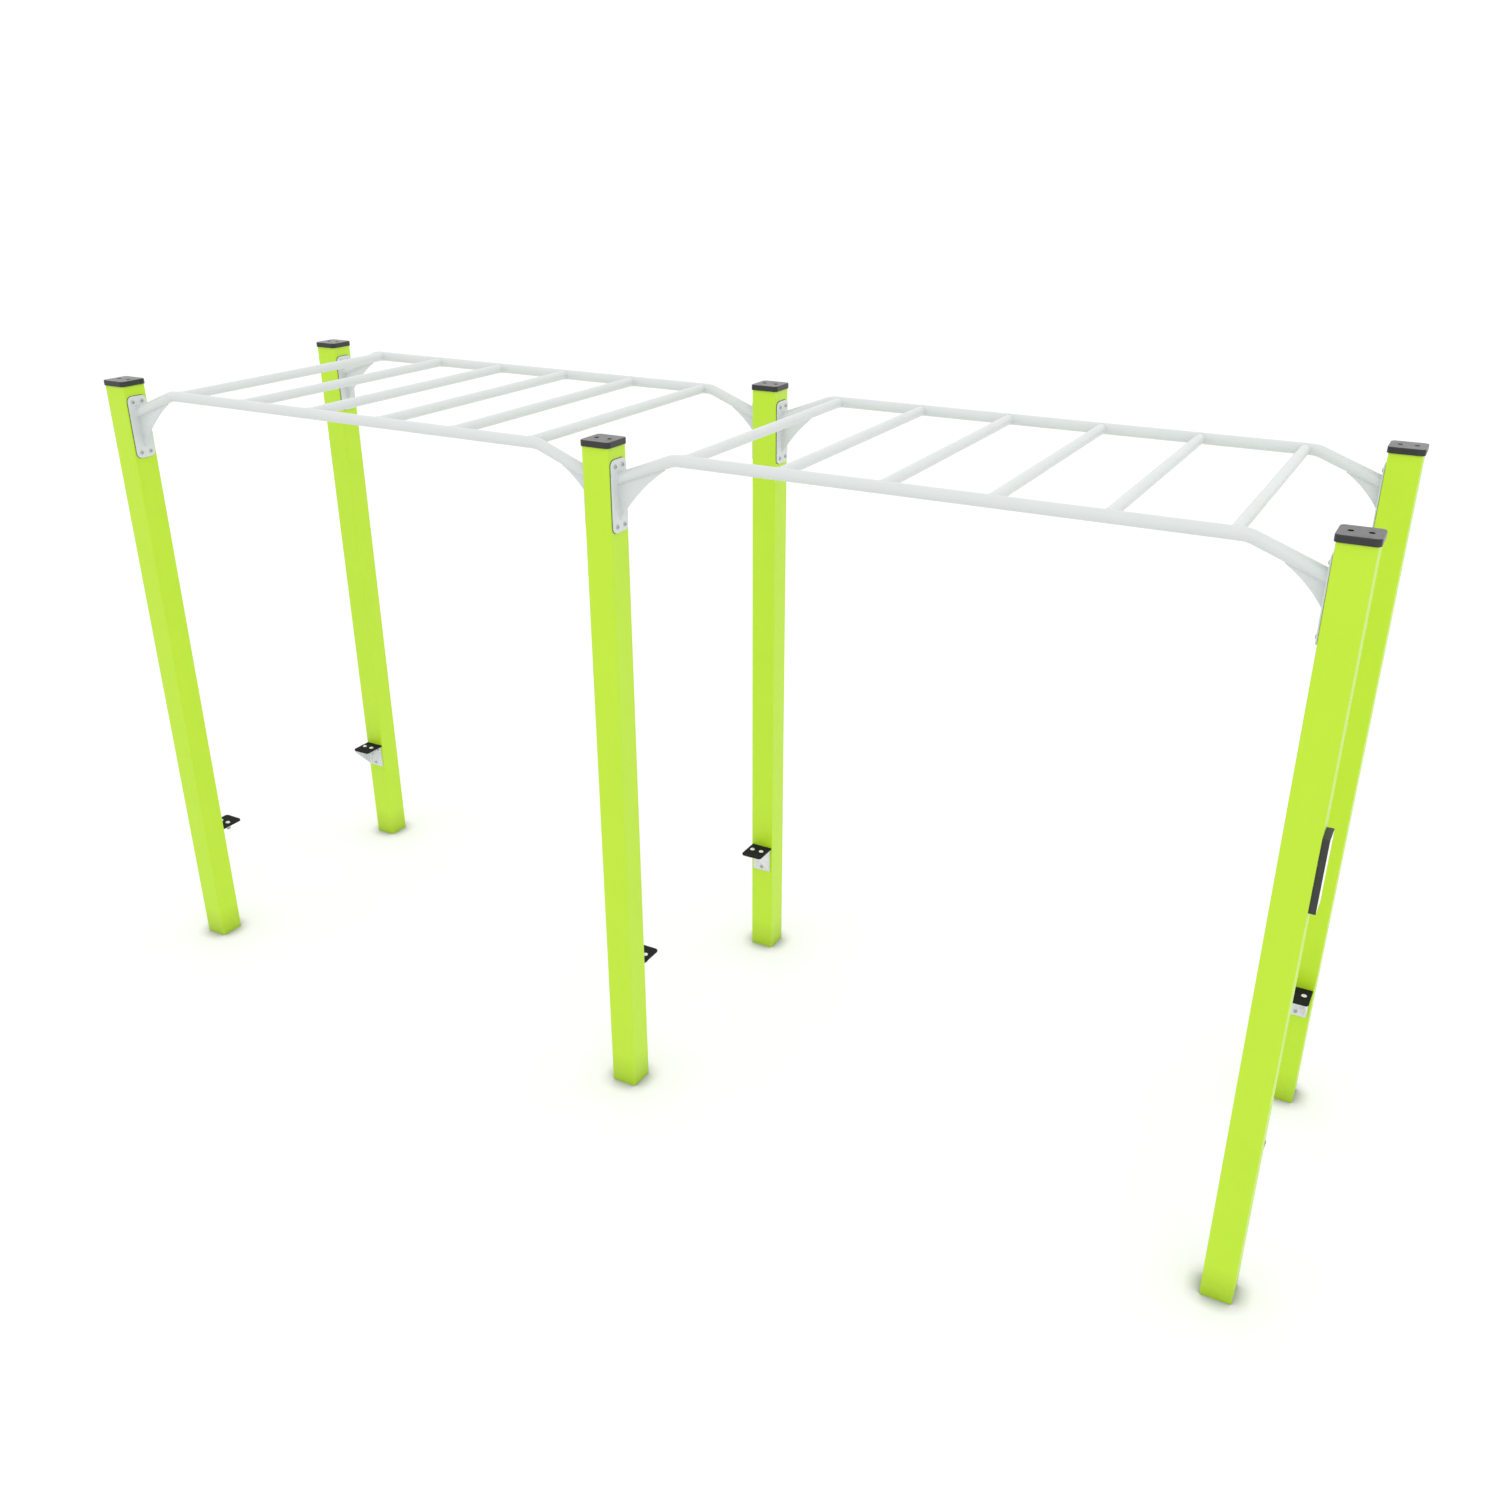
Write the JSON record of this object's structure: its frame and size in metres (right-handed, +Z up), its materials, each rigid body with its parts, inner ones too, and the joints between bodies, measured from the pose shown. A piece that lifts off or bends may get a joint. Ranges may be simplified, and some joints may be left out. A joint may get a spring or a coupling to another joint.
{
  "type": "monkey bars",
  "caption": "Monkey bars on square lime green posts with overhead ladders, gusseted rail ends, climbing steps and a blank sign box.",
  "frame": {"origin": "on the ground, midway between the six posts", "axes": "+X along the ladders towards the post with the sign box, +Y from the front row to the back row, +Z up"},
  "size_m": [4.626, 1.237, 2.495],
  "materials": {
    "post_green": "satin powder coat",
    "ladder_white": "satin powder coat",
    "bracket_grey": "satin powder coat",
    "cap_plastic": "moulded, matte",
    "tread_black": "moulded with anti-slip grain",
    "sign_charcoal": "moulded, matte",
    "sign_white": "smooth, matte",
    "fastener_steel": "zinc plated",
    "galvanised_steel": "galvanised"
  },
  "bodies": {
    "root": {"bracket_bolts": "fastener_steel", "cap_back_left": "cap_plastic", "cap_back_middle": "cap_plastic", "cap_back_right": "cap_plastic", "cap_cleats": "galvanised_steel", "cap_front_left": "cap_plastic", "cap_front_middle": "cap_plastic", "cap_front_right": "cap_plastic", "cap_screws": "fastener_steel", "flange_bolts": "fastener_steel", "flange_plates_left_back": "ladder_white", "flange_plates_left_front": "ladder_white", "flange_plates_right_back": "ladder_white", "flange_plates_right_front": "ladder_white", "gussets_left_back": "ladder_white", "gussets_left_front": "ladder_white", "gussets_right_back": "ladder_white", "gussets_right_front": "ladder_white", "post_back_left": "post_green", "post_back_middle": "post_green", "post_back_right": "post_green", "post_foot_plates": "galvanised_steel", "post_front_left": "post_green", "post_front_middle": "post_green", "post_front_right": "post_green", "rail_left_back": "ladder_white", "rail_left_front": "ladder_white", "rail_right_back": "ladder_white", "rail_right_front": "ladder_white", "rung_left_1": "ladder_white", "rung_left_2": "ladder_white", "rung_left_3": "ladder_white", "rung_left_4": "ladder_white", "rung_left_5": "ladder_white", "rung_left_6": "ladder_white", "rung_right_1": "ladder_white", "rung_right_2": "ladder_white", "rung_right_3": "ladder_white", "rung_right_4": "ladder_white", "rung_right_5": "ladder_white", "rung_right_6": "ladder_white", "sign_body": "sign_charcoal", "sign_face": "sign_white", "sign_screws": "fastener_steel", "step_bracket_back_left": "bracket_grey", "step_bracket_back_middle": "bracket_grey", "step_bracket_back_right": "bracket_grey", "step_bracket_front_left": "bracket_grey", "step_bracket_front_middle": "bracket_grey", "step_bracket_front_right": "bracket_grey", "step_tread_back_left": "tread_black", "step_tread_back_middle": "tread_black", "step_tread_back_right": "tread_black", "step_tread_front_left": "tread_black", "step_tread_front_middle": "tread_black", "step_tread_front_right": "tread_black", "tread_bolts": "fastener_steel", "tread_nuts": "fastener_steel", "weld_nuts": "galvanised_steel"}
  },
  "joints": []
}
